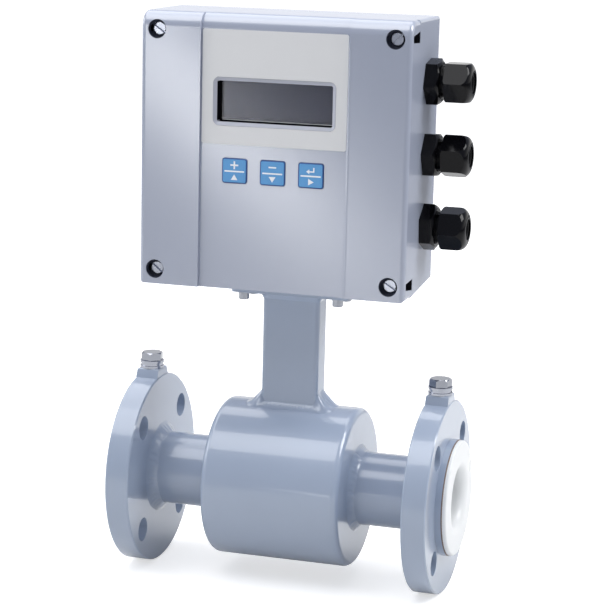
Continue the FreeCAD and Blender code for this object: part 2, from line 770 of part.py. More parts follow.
def gasket_ring(y0, y1):
    """Ring that follows the cavity's outline and passes inside the screws."""
    x, z0, z1 = box_x - base_wall, box_z0 + base_wall, box_z1 - base_wall
    corners = [V(-x, y0, z0), V(x, y0, z0), V(x, y0, z1), V(-x, y0, z1), V(-x, y0, z0)]
    flat = Part.Face(Part.makePolygon(corners))
    outline = flat.cut(pillars(y0 - 1, y0 + 1, base_wall)).Faces[0].OuterWire
    rings = [Part.Face(outline.makeOffset2D(d, 0, False, False))
             for d in (gasket_land + gasket_w, gasket_land)]
    return rings[0].cut(rings[1]).extrude(V(0, y1 - y0, 0))


def base_boss():
    """Flat pad under the base for the neck's gasket, kept inside the back wall."""
    grow = 2 * base_boss_margin
    pad = slab_z(plate_w + grow, plate_d + grow, plate_corner_r + base_boss_margin,
                 boss_z, box_z0 + base_wall)
    return pad.common(block(-box_x, box_x, split_y, box_back - base_boss_margin, 0, box_z1))


def housing_base():
    """Deep die-cast tub: sloping underside, gasket groove, tapped pillars and gland holes."""
    outer = side_profile(split_y, box_back, 0, box_z0, box_z0 + base_rise, box_z1, 0)
    outer = outer.makeFillet(base_edge_r, edges_where(
        outer, lambda b: on_side(b) and b.YMax > split_y + 0.01 or b.YMin > box_back - 0.01))
    outer = outer.fuse(base_boss()).removeSplitter()
    cuts = [base_cavity(), neck_prism(-neck_wall, boss_z - 1, box_z0 + 2 * base_wall),
            gasket_ring(split_y, split_y + gasket_h)]
    for x, z in screw_places.values():
        cuts.append(rod(cover_screw_d / 2 + thread_fit, V(x, split_y - 1, z),
                        V(x, split_y + cover_screw_bite + 1, z)))
    tap_top = plate_z - neck_washer_t + neck_bolt_len + 1
    for x, y in bolt_corners(neck_bolt_x, neck_bolt_y):
        cuts.append(rod(neck_bolt_d / 2 + thread_fit, V(x, y, boss_z - 1), V(x, y, tap_top)))
    for z in gland_places:
        cuts.append(rod(gland_thread_r + gland_hole_fit, V(box_x - base_wall - 1, gland_y, z),
                        V(box_x + 1, gland_y, z)))
    return outer.cut(cuts)


def cover_screws():
    screws = []
    head_y = screw_seat_y - cover_screw_head_h
    for name, (x, z) in screw_places.items():
        head = rod(cover_screw_head_d / 2, V(x, head_y, z), V(x, screw_seat_y, z))
        head = head.makeChamfer(head_chamfer, edges_where(head, lambda b: b.YMax < head_y + 0.01))
        shank = rod(cover_screw_d / 2, V(x, screw_seat_y, z), V(x, split_y + cover_screw_bite, z))
        slot = block(-counterbore_d, counterbore_d, head_y - 1, head_y + cover_screw_slot_depth,
                     -cover_screw_slot / 2, cover_screw_slot / 2)
        slot.rotate(V(0, 0, 0), V(0, 1, 0), -slot_angles[name])
        slot.translate(V(x, 0, z))
        screws.append(head.fuse(shank).removeSplitter().cut(slot))
    return Part.makeCompound(screws)


# ---------------------------------------------------------------- front panel
def front_label():
    label = slab_y(label_w, label_h, label_corner_r, label_y, panel_y, 0, label_z)
    return label.cut(slab_y(bezel_w, bezel_h, bezel_corner_r, label_y - 1, panel_y + 1, 0, bezel_z))


def display_bezel():
    """Frame that fills the cover's cut-out, with a face sloping in to a deep window."""
    w, h, r = bezel_w - 2 * bezel_fit, bezel_h - 2 * bezel_fit, bezel_corner_r - bezel_fit
    back_y = window_y + window_t + bezel_behind
    frame = slab_y(w, h, r, label_y, back_y, 0, bezel_z)
    slope = Part.makeLoft([
        rounded_outline(w + 0.02, h + 0.02, r, lambda u, v: V(u, label_y - 0.01, bezel_z + v)),
        rounded_outline(window_w, window_h, window_corner_r,
                        lambda u, v: V(u, label_y + bezel_slope, bezel_z + v))], True)
    opening = slab_y(window_w, window_h, window_corner_r, label_y, back_y + 1, 0, bezel_z)
    rebate = slab_y(window_w + 2 * window_rebate, window_h + 2 * window_rebate, window_corner_r,
                    window_y, back_y + 1, 0, bezel_z)
    return frame.cut([slope, opening, rebate])


def display_window():
    grow = 2 * (window_rebate - window_fit)
    return slab_y(window_w + grow, window_h + grow, window_corner_r - window_fit,
                  window_y, window_y + window_t, 0, bezel_z)


def lcd_module():
    """Glass in a metal frame on a thin carrier, with the viewing area sunk a little."""
    grow = 2 * (window_rebate - window_fit)
    w, h, r = window_w + grow, window_h + grow, window_corner_r - window_fit
    body = slab_y(w, h, r, lcd_y, display_board_y, 0, bezel_z)
    view = slab_y(w - 2 * lcd_rim, h - 2 * lcd_rim, r, lcd_y - 1, lcd_y + lcd_sunk, 0, bezel_z)
    return body.cut(view)


def board(w, z0, z1, cx, y0, places):
    plate = slab_y(w, z1 - z0, board_corner_r, y0, y0 + board_t, cx, (z0 + z1) / 2)
    hole_r = board_screw_d / 2 + board_screw_fit
    return plate.cut([rod(hole_r, V(x, y0 - 1, z), V(x, y0 + board_t + 1, z)) for x, z in places])


def display_board():
    return board(display_board_w, display_board_z0, display_board_z1, 0, display_board_y,
                 display_board_places())


def key(x, z):
    """Key cap with a flange that stops it behind the panel and a stem over its switch."""
    cap = slab_y(key_w, key_h, key_corner_r, key_front_y, key_flange_y, x, z)
    cap = cap.makeChamfer(key_chamfer, edges_where(cap, lambda b: b.YMax < key_front_y + 0.01))
    grow = 2 * (key_flange + key_fit)
    flange = slab_y(key_w + grow, key_h + grow, key_corner_r,
                    key_flange_y, key_flange_y + key_flange_t, x, z)
    stem = rod(key_stem_d / 2, V(x, key_flange_y, z), V(x, key_stem_end, z))
    return cap.fuse([flange, stem]).removeSplitter()


def key_switches():
    switches = []
    for x, z in key_places():
        half = switch_size / 2
        case = block(x - half, x + half, display_board_y - switch_h, display_board_y, z - half, z + half)
        button = rod(switch_button_d / 2, V(x, display_board_y - switch_h - switch_button_h, z),
                     V(x, display_board_y - switch_h, z))
        switches.append(case.fuse(button).removeSplitter())
    return Part.makeCompound(switches)


# ---------------------------------------------------------------- electronics in the base
def main_board():
    return board(main_board_w, main_board_z0, main_board_z1, main_board_x, main_board_y,
                 main_board_places())


def board_standoffs():
    y0 = main_board_y + board_t
    return Part.makeCompound([
        hexagon(standoff_af, V(x, y0, z), standoff_h, "Y").cut(
            rod(board_screw_d / 2 + thread_fit, V(x, y0 - 1, z), V(x, y0 + standoff_h + 1, z)))
        for x, z in main_board_places()])


def pan_screw(x, z, seat, inward, length):
    """Pan-head screw; inward is the direction of its shank along Y."""
    head = rod(board_screw_head_d / 2, V(x, seat, z), V(x, seat - inward * board_screw_head_h, z))
    shank = rod(board_screw_d / 2, V(x, seat, z), V(x, seat + inward * length, z))
    return head.fuse(shank).removeSplitter()


def board_screws():
    length = board_t + board_screw_bite
    front = [pan_screw(x, z, display_board_y + board_t, -1, length) for x, z in display_board_places()]
    back = [pan_screw(x, z, main_board_y, 1, length) for x, z in main_board_places()]
    return Part.makeCompound(front + back)


def transformer():
    """Mains transformer: a laminated core with the winding standing out of both sides."""
    y0, y1 = main_board_y - transformer_d, main_board_y
    y_mid = (y0 + y1) / 2
    half_w, half_core = transformer_w / 2, transformer_core_d / 2
    core = block(transformer_x - half_w, transformer_x + half_w, y0, y1,
                 transformer_z - half_core, transformer_z + half_core)
    bobbin = slab_y(bobbin_w, transformer_h, bobbin_corner_r, y_mid - bobbin_d / 2, y_mid + bobbin_d / 2,
                    transformer_x, transformer_z)
    return core.fuse(bobbin).removeSplitter()


def terminal_block():
    """Stepped row of screw terminals with wire entries underneath."""
    x0 = main_board_x - terminal_l / 2
    z0, z1 = terminal_z - terminal_h / 2, terminal_z + terminal_h / 2
    y1 = main_board_y
    y0 = y1 - terminal_d
    outline = [(y1, z0), (y0 + terminal_step, z0), (y0, z0 + terminal_step),
               (y0, z1 - terminal_bevel), (y0 + terminal_bevel, z1), (y1, z1)]
    wire = Part.makePolygon([V(x0, y, z) for y, z in outline + outline[:1]])
    body = Part.Face(wire).extrude(V(terminal_l, 0, 0))
    pitch = terminal_l / terminal_ways
    half = terminal_hole / 2
    hole_y = y1 - terminal_bevel
    cuts = []
    for i in range(terminal_ways):
        x = x0 + pitch * (i + 0.5)
        cuts.append(block(x - half, x + half, hole_y - terminal_hole, hole_y, z0 - 1, z0 + terminal_h / 2))
    return body.cut(cuts)


# ---------------------------------------------------------------- cable glands
def at_gland(shape, index, turn):
    """Puts a gland part, drawn along X from the wall, in its hole."""
    shape.rotate(V(0, 0, 0), V(1, 0, 0), turn)
    shape.translate(V(box_x, gland_y, gland_places[index]))
    return shape


def gland_body(index):
    """Threaded body with a hexagon that seats on the wall."""
    r_corner = gland_hex_af / math.sqrt(3)
    rounding = spin([(0, 0), (0, r_corner), (gland_hex_t - gland_chamfer, r_corner),
                     (gland_hex_t, gland_hex_af / 2 - gland_chamfer_in), (gland_hex_t, 0)])
    head = hexagon(gland_hex_af, V(0, 0, 0), gland_hex_t, "X").common(rounding)
    end = gland_hex_t + gland_neck
    front = rod(gland_thread_r, V(gland_hex_t, 0, 0), V(end, 0, 0))
    back = rod(gland_thread_r, V(-gland_stub, 0, 0), V(0, 0, 0))
    bore = rod(gland_bore_r, V(-gland_stub - 1, 0, 0), V(end + 1, 0, 0))
    return at_gland(head.fuse([front, back]).removeSplitter().cut(bore), index, gland_body_turn[index])


def gland_nut(index):
    """Hexagonal nut whose end is a dome, cut by the six flats."""
    x0, x1, x2 = gland_nut_x0, gland_nut_x1, gland_nut_x2
    r_corner = gland_nut_af / math.sqrt(3)
    mouth_r = gland_mouth_d / 2
    lip_r = mouth_r + gland_mouth_lip
    bulge = V((x1 + x2) / 2 + gland_dome_bulge, 0, (r_corner + lip_r) / 2 + gland_dome_bulge)
    corners = [V(x2, 0, lip_r), V(x2, 0, 0), V(x0, 0, 0), V(x0, 0, r_corner - gland_nut_bevel),
               V(x0 + gland_nut_bevel, 0, r_corner), V(x1, 0, r_corner)]
    edges = [Part.makeLine(a, b) for a, b in zip(corners, corners[1:])]
    edges.append(Part.Arc(corners[-1], bulge, corners[0]).toShape())
    dome = Part.Face(Part.Wire(edges)).revolve(V(0, 0, 0), V(1, 0, 0), 360)
    nut = hexagon(gland_nut_af, V(x0, 0, 0), x2 - x0, "X").common(dome)
    thread_r = gland_thread_r + gland_fit
    end = x2 - gland_nut_end_t
    hollow = spin([(x0 - 1, 0), (x0 - 1, thread_r), (x1, thread_r), (end, mouth_r + gland_collar_inset),
                   (end, mouth_r), (x2 + 1, mouth_r), (x2 + 1, 0)])
    return at_gland(nut.cut(hollow), index, gland_nut_turn[index])


def gland_seal(index):
    """Rubber bush: a plug in the body, a collar on its end and a cone under the dome."""
    x0 = gland_hex_t + gland_neck
    x2 = gland_nut_x2 - gland_seal_sunk
    r_bore = gland_seal_bore / 2
    r_plug = gland_bore_r - gland_fit
    r_collar = gland_thread_r - gland_collar_inset
    r_nose = gland_mouth_d / 2 - gland_fit
    seal = spin([(x0 - gland_seal_plug, r_bore), (x0 - gland_seal_plug, r_plug), (x0, r_plug),
                 (x0, r_collar), (x0 + gland_collar_t, r_collar),
                 (gland_nut_x2 - gland_nut_end_t - gland_seal_gap, r_nose), (x2, r_nose), (x2, r_bore)])
    return at_gland(seal, index, 0.0)


def gland_seals():
    return Part.makeCompound([gland_seal(i) for i in range(gland_count)])


def gland_locknuts():
    nuts = []
    for i in range(gland_count):
        nut = hexagon(gland_locknut_af, V(-base_wall - gland_locknut_t, 0, 0), gland_locknut_t, "X")
        nut = nut.cut(rod(gland_thread_r + thread_fit, V(-gland_stub, 0, 0), V(0, 0, 0)))
        nuts.append(at_gland(nut, i, gland_locknut_step * i))
    return Part.makeCompound(nuts)


# ---------------------------------------------------------------- all nodes
def nodes():
    flange = outlet_flange()
    plate = outlet_end_plate()
    yield "measuring_tube", measuring_tube()
    yield "inlet_flange", mirror_x(flange)
    yield "outlet_flange", flange
    yield "inlet_flange_weld", weld_bead(-flange_x, flange_weld_leg, 1)
    yield "outlet_flange_weld", weld_bead(flange_x, flange_weld_leg, -1)
    yield "pipe_liner", pipe_liner()
    yield "coil_housing_shell", coil_housing_shell()
    yield "inlet_end_plate", mirror_x(plate)
    yield "outlet_end_plate", plate
    yield "inlet_shell_weld", weld_bead(-shell_x, shell_weld_leg, -1)
    yield "outlet_shell_weld", weld_bead(shell_x, shell_weld_leg, 1)
    yield "coil_upper", coil_upper()
    yield "coil_lower", lower(coil_upper())
    yield "pole_shoe_upper", pole_shoe_upper()
    yield "pole_shoe_lower", lower(pole_shoe_upper())
    yield "flux_return_ring", flux_return_ring()
    yield "electrode_front", electrode_front()
    yield "electrode_rear", electrode_front().mirror(V(0, 0, 0), V(0, 1, 0))
    yield "electrode_bush_front", electrode_bush_front()
    yield "electrode_bush_rear", electrode_bush_front().mirror(V(0, 0, 0), V(0, 1, 0))
    yield "electrode_nuts", electrode_nuts()
    yield "inlet_earth_boss", mirror_x(outlet_earth_boss())
    yield "outlet_earth_boss", outlet_earth_boss()
    yield "earth_bolts", earth_bolts()
    yield "earth_washers", earth_washers()
    yield "neck_tube", neck_tube()
    yield "neck_foot_weld", neck_foot_weld()
    yield "neck_top_weld", neck_top_weld()
    yield "neck_plate", plate_shape(plate_z, gasket_z)
    yield "neck_gasket", plate_shape(gasket_z, boss_z, neck_gasket_inset)
    yield "neck_bolts", neck_bolts()
    yield "neck_bolt_washers", neck_bolt_washers()
    yield "housing_base", housing_base()
    yield "housing_cover", housing_cover()
    yield "cover_gasket", gasket_ring(split_y, split_y + gasket_h)
    yield "cover_screws", cover_screws()
    yield "front_label", front_label()
    yield "display_bezel", display_bezel()
    yield "display_window", display_window()
    yield "lcd_module", lcd_module()
    yield "display_board", display_board()
    for name, place in zip(["key_plus", "key_minus", "key_enter"], key_places()):
        yield name, key(*place)
    yield "key_switches", key_switches()
    yield "main_board", main_board()
    yield "board_standoffs", board_standoffs()
    yield "board_screws", board_screws()
    yield "transformer", transformer()
    yield "terminal_block", terminal_block()
    for i, name in enumerate(gland_names):
        yield "gland_body_" + name, gland_body(i)
        yield "gland_nut_" + name, gland_nut(i)
    yield "gland_seals", gland_seals()
    yield "gland_locknuts", gland_locknuts()


def main():
    os.makedirs("parts", exist_ok=True)
    for name, shape in nodes():
        save(name, shape)


main()
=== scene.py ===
"""Look of the electromagnetic flow meter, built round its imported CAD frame. Metres."""
import json
import math
import random

import bmesh
import bpy
from mathutils import Matrix, Vector


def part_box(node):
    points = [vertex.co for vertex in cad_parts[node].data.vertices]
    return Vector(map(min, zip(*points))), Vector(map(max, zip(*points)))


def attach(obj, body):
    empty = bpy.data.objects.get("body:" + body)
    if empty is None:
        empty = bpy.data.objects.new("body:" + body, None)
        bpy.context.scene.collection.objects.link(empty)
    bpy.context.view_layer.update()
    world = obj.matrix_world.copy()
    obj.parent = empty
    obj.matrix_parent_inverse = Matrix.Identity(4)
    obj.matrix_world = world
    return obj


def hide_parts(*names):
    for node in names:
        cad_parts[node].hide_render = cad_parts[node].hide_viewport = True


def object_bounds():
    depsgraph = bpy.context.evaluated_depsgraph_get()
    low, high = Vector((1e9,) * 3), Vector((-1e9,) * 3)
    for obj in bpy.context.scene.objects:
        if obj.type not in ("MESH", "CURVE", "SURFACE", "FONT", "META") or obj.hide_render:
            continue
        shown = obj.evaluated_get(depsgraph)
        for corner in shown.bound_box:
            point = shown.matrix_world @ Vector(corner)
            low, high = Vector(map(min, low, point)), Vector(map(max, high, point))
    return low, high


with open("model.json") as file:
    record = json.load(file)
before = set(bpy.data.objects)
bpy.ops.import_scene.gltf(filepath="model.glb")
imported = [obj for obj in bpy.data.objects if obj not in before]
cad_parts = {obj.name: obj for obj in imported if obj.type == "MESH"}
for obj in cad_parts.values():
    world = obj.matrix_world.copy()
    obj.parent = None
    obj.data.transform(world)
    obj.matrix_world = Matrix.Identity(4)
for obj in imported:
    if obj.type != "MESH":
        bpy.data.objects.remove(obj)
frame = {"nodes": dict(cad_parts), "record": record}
cad_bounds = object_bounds()
NODES = frame["nodes"]
MM = 0.001
BODY = "meter"


# ------------------------------------------------------------------ camera
SENSOR_MM, LENS_MM = 36.0, 125.678
AZIMUTH, ELEVATION, ROLL = (math.radians(a) for a in (16.95, 11.3, 1.38))
DISTANCE = 1.39098
TARGET = Vector((0.00648, 0.0, 0.11968))


def add_camera():
    back = Vector((math.sin(AZIMUTH) * math.cos(ELEVATION),
                   -math.cos(AZIMUTH) * math.cos(ELEVATION), math.sin(ELEVATION)))
    right = (-back).cross(Vector((0, 0, 1))).normalized()
    up = right.cross(-back).normalized()
    c, s = math.cos(ROLL), math.sin(ROLL)
    right, up = right * c + up * s, up * c - right * s
    data = bpy.data.cameras.new("camera")
    data.sensor_width = SENSOR_MM
    data.lens = LENS_MM
    data.clip_start, data.clip_end = 0.05, 50.0
    camera = bpy.data.objects.new("camera", data)
    bpy.context.scene.collection.objects.link(camera)
    place = TARGET + back * DISTANCE
    camera.matrix_world = Matrix((
        (right.x, up.x, back.x, place.x),
        (right.y, up.y, back.y, place.y),
        (right.z, up.z, back.z, place.z),
        (0, 0, 0, 1)))
    bpy.context.scene.camera = camera


# ------------------------------------------------------------------ light
AMBIENT = 0.23
AMBIENT_TINT = (0.86, 0.90, 1.0)
ROOM = (0.42, 0.45, 0.55)           # what metal and gloss reflect above and in front
SWEEP = (1.0, 1.0, 1.0)             # what they reflect low and behind
SWEEP_FADES_UP = (0.12, 0.42)       # the direction's z where the sweep starts to fade, and where it has gone
SWEEP_GROWS_BACK = (-0.35, 0.45)    # its y where the sweep starts, and where it is full
FLOOR_ALBEDO = 0.75
FLOOR_NEAR = 0.62                   # glow that the camera sees under the object
FLOOR_GLOSS = (0.13, 0.0)           # glow that reflections see, near and far
CAMERA_FADE = (0.25, 1.6)           # distances over which the first of them changes
GLOSS_FADE = (0.3, 2.0)             # and the second
FLOOR_RADIUS = 9.0
FLOOR_GAP = 0.1 * MM                # under the lowest point, so that no faces coincide
# name, place, the point it faces, size, watts, direction of the long side, and a narrow beam's angle
LIGHTS = (
    ("front_softbox", (-0.4, -0.7, 1.55), (0, 0, 0.1), (1.4, 1.0), 13.5, (1, 0, 0)),
    ("overhead_softbox", (-0.35, 0.45, 1.6), (-0.1, 0.1, 0.1), (2.0, 1.4), 18.0, (1, 0, 0)),
    ("left_softbox", (-1.6, -0.3, 0.7), (0, 0, 0.15), (0.9, 0.9), 10.0, (0, 1, 0)),
    ("right_softbox", (1.15, 0.1, 1.15), (0, 0, 0.15), (0.8, 0.8), 16.0, (0, 1, 0)),
    ("front_strip", (-0.36, -1.0, 0.12), (0, -0.056, 0.22), (0.62, 0.05), 0.0125, (0.746, 0, -0.665), 17.5),
)


def add_light(name, place, aim, size, power, along, spread=180.0):
    """Rectangular lamp that faces aim, with its long side as near to along as it can be.

    spread is the angle of its beam in degrees.
    """
    data = bpy.data.lights.new(name, "AREA")
    data.shape = "RECTANGLE"
    data.size, data.size_y = size
    data.energy = power
    data.spread = math.radians(spread)
    light = bpy.data.objects.new(name, data)
    bpy.context.scene.collection.objects.link(light)
    z = (Vector(place) - Vector(aim)).normalized()
    x = Vector(along)
    x = (x - z * x.dot(z)).normalized()
    y = z.cross(x)
    light.matrix_world = Matrix((
        (x.x, y.x, z.x, place[0]),
        (x.y, y.y, z.y, place[1]),
        (x.z, y.z, z.z, place[2]),
        (0, 0, 0, 1)))


def map_range(t, source, inside, outside, smooth=True):
    """Output of a node that maps the range inside, a pair of values, to the range outside."""
    n = t.nodes.new("ShaderNodeMapRange")
    if smooth:
        n.interpolation_type = "SMOOTHSTEP"
    for key, value in zip(("From Min", "From Max", "To Min", "To Max"), (*inside, *outside)):
        n.inputs[key].default_value = value
    t.links.new(source, n.inputs["Value"])
    return n.outputs[0]


def math_node(t, operation, a, b):
    """Output of a Math node on two sockets."""
    n = t.nodes.new("ShaderNodeMath")
    n.operation = operation
    t.links.new(a, n.inputs[0])
    t.links.new(b, n.inputs[1])
    return n.outputs[0]


def background(t, color=(1, 1, 1), strength=1.0):
    n = t.nodes.new("ShaderNodeBackground")
    n.inputs["Color"].default_value = (*color, 1)
    n.inputs["Strength"].default_value = strength
    return n


def add_world():
    """World that is white to the camera and through glass, and dim and even as a light.

    Reflections see a studio: a pale sweep low behind, and a dimmer room above and in front.
    """
    world = bpy.data.worlds.new("studio")
    bpy.context.scene.world = world
    world.use_nodes = True
    t = world.node_tree
    t.nodes.clear()
    out = t.nodes.new("ShaderNodeOutputWorld")
    coords = t.nodes.new("ShaderNodeTexCoord")
    split = t.nodes.new("ShaderNodeSeparateXYZ")
    t.links.new(coords.outputs["Generated"], split.inputs[0])
    low = map_range(t, split.outputs["Z"], SWEEP_FADES_UP, (1.0, 0.0))
    behind = map_range(t, split.outputs["Y"], SWEEP_GROWS_BACK, (0.0, 1.0))
    sweep = math_node(t, "MULTIPLY", low, behind)
    room = t.nodes.new("ShaderNodeMix")
    room.data_type = "RGBA"
    room.inputs["A"].default_value = (*ROOM, 1)
    room.inputs["B"].default_value = (*SWEEP, 1)
    t.links.new(sweep, room.inputs["Factor"])
    seen = background(t)
    t.links.new(room.outputs["Result"], seen.inputs["Color"])
    white = background(t)
    ambient = background(t, AMBIENT_TINT, AMBIENT)
    path = t.nodes.new("ShaderNodeLightPath")
    glossy = t.nodes.new("ShaderNodeMixShader")
    t.links.new(path.outputs["Is Glossy Ray"], glossy.inputs[0])
    t.links.new(ambient.outputs[0], glossy.inputs[1])
    t.links.new(seen.outputs[0], glossy.inputs[2])
    straight = math_node(t, "MAXIMUM", path.outputs["Is Camera Ray"], path.outputs["Is Transmission Ray"])
    final = t.nodes.new("ShaderNodeMixShader")
    t.links.new(straight, final.inputs[0])
    t.links.new(glossy.outputs[0], final.inputs[1])
    t.links.new(white.outputs[0], final.inputs[2])
    t.links.new(final.outputs[0], out.inputs["Surface"])


def add_floor():
    """Pale floor that takes the object's shadow and glows towards white away from it.

    The glow is there for camera rays and, more faintly, in reflections.
    """
    lowest = cad_bounds[0][2]
    mesh = bpy.data.meshes.new("floor")
    b = bmesh.new()
    bmesh.ops.create_circle(b, cap_ends=True, segments=96, radius=FLOOR_RADIUS)
    b.to_mesh(mesh)
    b.free()
    floor = bpy.data.objects.new("floor", mesh)
    bpy.context.scene.collection.objects.link(floor)
    floor.location = (0, 0, lowest - FLOOR_GAP)
    m = bpy.data.materials.new("floor")
    m.use_nodes = True
    t = m.node_tree
    t.nodes.clear()
    out = t.nodes.new("ShaderNodeOutputMaterial")
    diffuse = t.nodes.new("ShaderNodeBsdfDiffuse")
    diffuse.inputs["Color"].default_value = (FLOOR_ALBEDO, FLOOR_ALBEDO, FLOOR_ALBEDO, 1)
    glow = t.nodes.new("ShaderNodeEmission")
    glow.inputs["Color"].default_value = (1, 1, 1, 1)
    coords = t.nodes.new("ShaderNodeTexCoord")
    length = t.nodes.new("ShaderNodeVectorMath")
    length.operation = "LENGTH"
    t.links.new(coords.outputs["Object"], length.inputs[0])
    distance = length.outputs["Value"]
    path = t.nodes.new("ShaderNodeLightPath")
    to_camera = math_node(t, "MULTIPLY", path.outputs["Is Camera Ray"],
                          map_range(t, distance, CAMERA_FADE, (FLOOR_NEAR, 1.0)))
    in_gloss = math_node(t, "MULTIPLY", path.outputs["Is Glossy Ray"],
                         map_range(t, distance, GLOSS_FADE, FLOOR_GLOSS))
    strength = math_node(t, "MAXIMUM", to_camera, in_gloss)
    t.links.new(strength, glow.inputs["Strength"])
    add = t.nodes.new("ShaderNodeAddShader")
    t.links.new(diffuse.outputs[0], add.inputs[0])
    t.links.new(glow.outputs[0], add.inputs[1])
    t.links.new(add.outputs[0], out.inputs["Surface"])
    mesh.materials.append(m)


# ------------------------------------------------------------------ materials
def srgb(r, g, b):
    """Linear colour from 0-255 values as seen on a screen."""
    def lin(v):
        v /= 255.0
        return v / 12.92 if v <= 0.04045 else ((v + 0.055) / 1.055) ** 2.4
    return (lin(r), lin(g), lin(b), 1.0)


def tint(color, k):
    """The colour k times as bright."""
    return tuple(min(1.0, c * k) for c in color[:3]) + (1.0,)


def noise(t, coords, scale, detail):
    """Noise texture in the object's own coordinates."""
    n = t.nodes.new("ShaderNodeTexNoise")
    n.inputs["Scale"].default_value = scale
    n.inputs["Detail"].default_value = detail
    t.links.new(coords.outputs["Object"], n.inputs["Vector"])
    return n


def surface(name, color, roughness, metallic=0.0, coat=0.0, coat_roughness=0.05, mottle=0.04,
            mottle_scale=30.0, bumps=(), rough_vary=0.0, specular=0.5, ior=1.5, transmission=0.0):
    """Procedural material: mottled colour, uneven roughness and stacked noise bumps.

    mottle is a share of the colour and rough_vary an amount of roughness, each up and down.
    bumps are pairs of a scale and a height in mm.
    """
    m = bpy.data.materials.new(name)
    m.use_nodes = True
    t = m.node_tree
    p = t.nodes["Principled BSDF"]
    coords = t.nodes.new("ShaderNodeTexCoord")
    patch = noise(t, coords, mottle_scale, 3.0)
    ramp = t.nodes.new("ShaderNodeValToRGB")
    for stop, position, share in zip(ramp.color_ramp.elements, (0.2, 0.8), (1 - mottle, 1 + mottle)):
        stop.position = position
        stop.color = tint(color, share)
    t.links.new(patch.outputs["Fac"], ramp.inputs["Fac"])
    t.links.new(ramp.outputs["Color"], p.inputs["Base Color"])
    p.inputs["Metallic"].default_value = metallic
    p.inputs["Specular IOR Level"].default_value = specular
    p.inputs["IOR"].default_value = ior
    p.inputs["Coat Weight"].default_value = coat
    p.inputs["Coat Roughness"].default_value = coat_roughness
    p.inputs["Transmission Weight"].default_value = transmission
    if rough_vary:
        wear = noise(t, coords, mottle_scale, 1.0)
        span = (roughness - rough_vary, roughness + rough_vary)
        t.links.new(map_range(t, wear.outputs["Fac"], (0.0, 1.0), span, smooth=False), p.inputs["Roughness"])
    else:
        p.inputs["Roughness"].default_value = roughness
    last = None
    for scale, height in bumps:
        n = noise(t, coords, scale, 2.0)
        bump = t.nodes.new("ShaderNodeBump")
        bump.inputs["Strength"].default_value = 1.0
        bump.inputs["Distance"].default_value = height * MM
        t.links.new(n.outputs["Fac"], bump.inputs["Height"])
        if last:
            t.links.new(last.outputs["Normal"], bump.inputs["Normal"])
        last = bump
    if last:
        t.links.new(last.outputs["Normal"], p.inputs["Normal"])
        if coat:
            t.links.new(last.outputs["Normal"], p.inputs["Coat Normal"])
    return m


